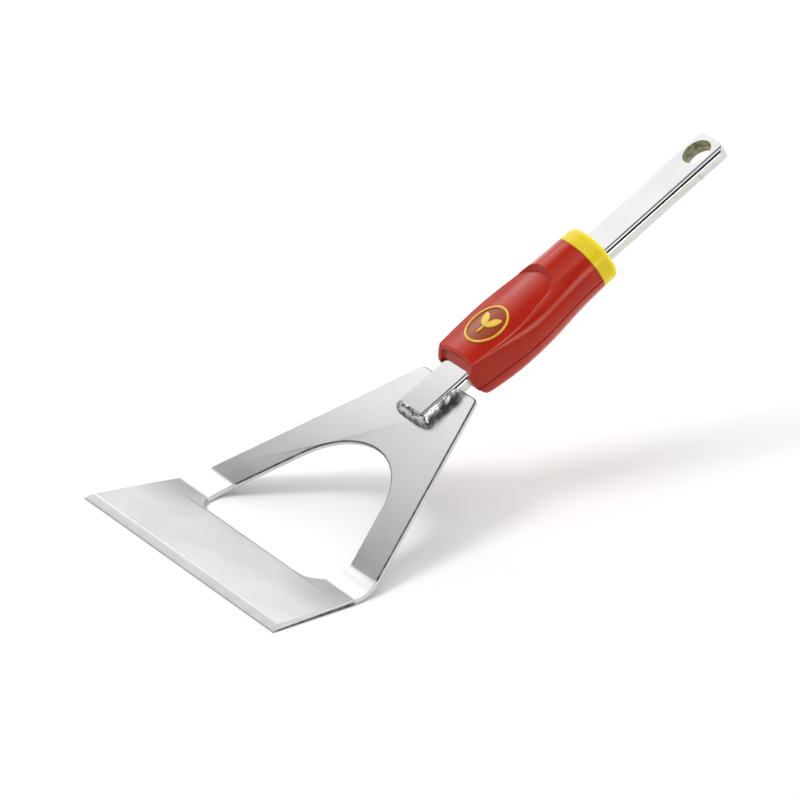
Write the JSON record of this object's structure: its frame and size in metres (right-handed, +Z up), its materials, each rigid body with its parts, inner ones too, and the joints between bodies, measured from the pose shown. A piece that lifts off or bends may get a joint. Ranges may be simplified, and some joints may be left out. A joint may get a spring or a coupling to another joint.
{
  "type": "hand weeder head",
  "caption": "Push-pull weeder head: bent stirrup blade with a large window, welded to a flat folded tang that plugs into a handle through a split grip housing and end collar.",
  "frame": {"origin": "on the underside of the flat blade, on the centre line, midway between the cutting edge and the window", "axes": "+Y from the cutting edge towards the handle, +X to the right when looking along +Y, +Z up from the surface the blade lies on"},
  "size_m": [0.15, 0.2507, 0.1299],
  "materials": {
    "plated_sheet": "satin zinc-plated sheet, fine grain, bright at the bends",
    "tang_steel": "bright plated folded sheet with fine lengthwise lines",
    "weld_metal": "rippled weld bead, plated over",
    "housing_plastic": "glossy moulded plastic, red",
    "collar_plastic": "semi-gloss moulded plastic, yellow",
    "badge_plastic": "semi-gloss inlay, yellow",
    "screw_steel": "zinc-plated"
  },
  "bodies": {
    "root": {"blade_plate": "plated_sheet", "tang": "tang_steel", "weld_front": "weld_metal", "weld_left": "weld_metal", "weld_right": "weld_metal", "weld_under": "weld_metal", "housing_upper_shell": "housing_plastic", "housing_lower_shell": "housing_plastic", "collar": "collar_plastic", "badge_ring": "badge_plastic", "badge_sprout": "badge_plastic", "shell_screws": "screw_steel"}
  },
  "joints": []
}
